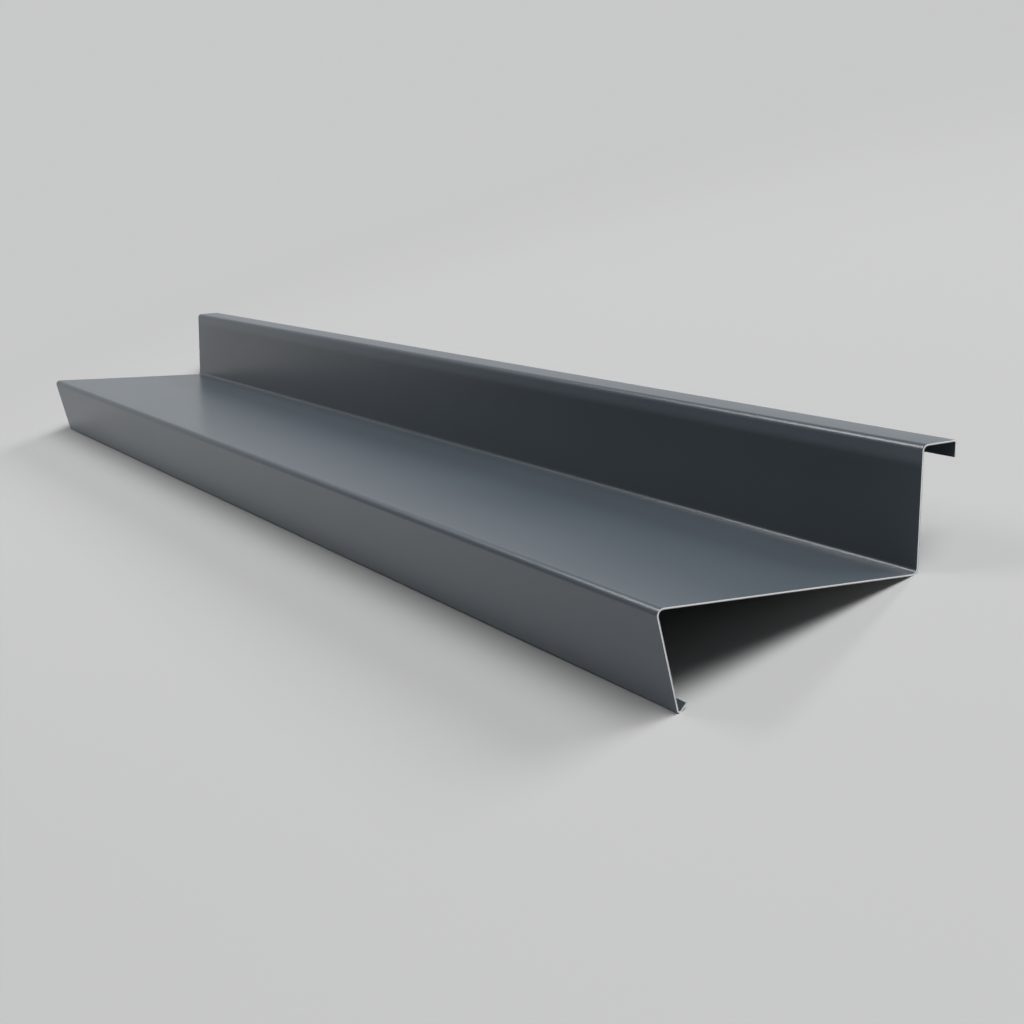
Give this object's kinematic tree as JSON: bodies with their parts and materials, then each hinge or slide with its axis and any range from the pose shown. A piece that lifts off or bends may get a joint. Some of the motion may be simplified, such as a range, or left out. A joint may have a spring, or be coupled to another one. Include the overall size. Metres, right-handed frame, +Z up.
{
  "type": "roof flashing",
  "caption": "Length of coated sheet metal folded into a roof flashing: a flat base with a slanting drip apron in front and an upstand with a hooked top return behind.",
  "frame": {"origin": "on the floor that the piece lies on, under the middle of its bounding box", "axes": "+X along the folds, +Y from the apron in front to the upstand behind, +Z up from the floor"},
  "size_m": [1, 0.1742, 0.054],
  "materials": {
    "coated_sheet": "satin slate-grey coil coating on both faces, bare metal on the sheared edges"
  },
  "bodies": {
    "root": {"flashing": "coated_sheet"}
  },
  "joints": []
}
